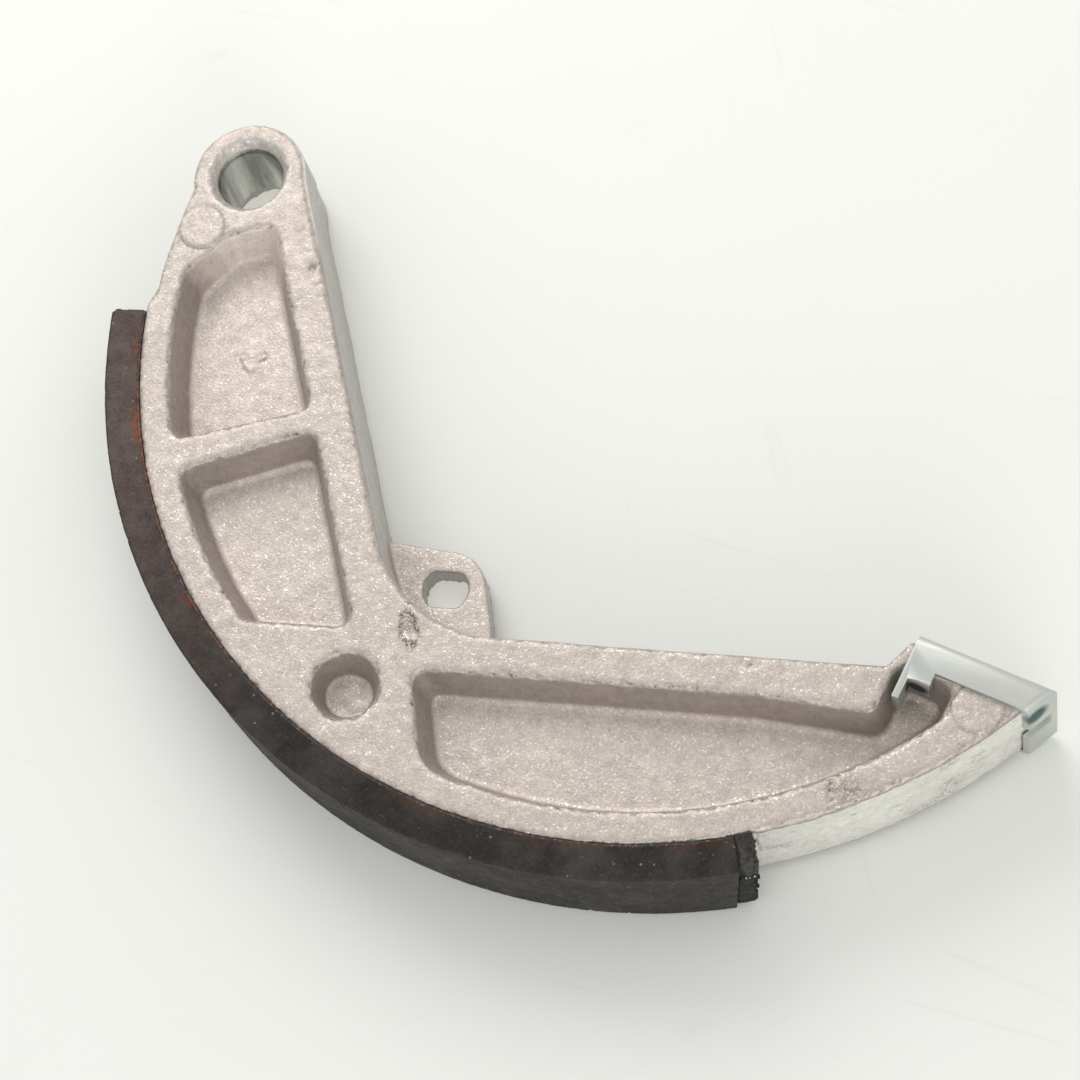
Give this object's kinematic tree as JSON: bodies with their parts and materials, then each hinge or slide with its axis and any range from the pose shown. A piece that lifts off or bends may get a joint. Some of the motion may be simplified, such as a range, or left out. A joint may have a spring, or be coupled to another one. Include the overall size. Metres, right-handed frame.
{
  "type": "drum brake shoe",
  "caption": "Cast drum-brake shoe: a curved, pocketed arm with a bonded friction lining, a pivot eye, a spring ear and a folded steel cap where the cam pushes.",
  "frame": {"origin": "axis of the pivot bore, halfway across the width of the shoe", "axes": "+X from the pivot to the axle of the drum, +Z along the bore, away from the side with the spring ear"},
  "size_m": [0.1389, 0.0829, 0.0178],
  "materials": {
    "cast_aluminium": "as cast, fine grain",
    "friction_material": "matt, ground",
    "adhesive": "charred, matt",
    "zinc_plated_steel": "pale zinc plating"
  },
  "bodies": {
    "root": {"shoe_casting": "cast_aluminium", "friction_lining": "friction_material", "bond_film": "adhesive", "cam_end_cap": "zinc_plated_steel"}
  },
  "joints": []
}
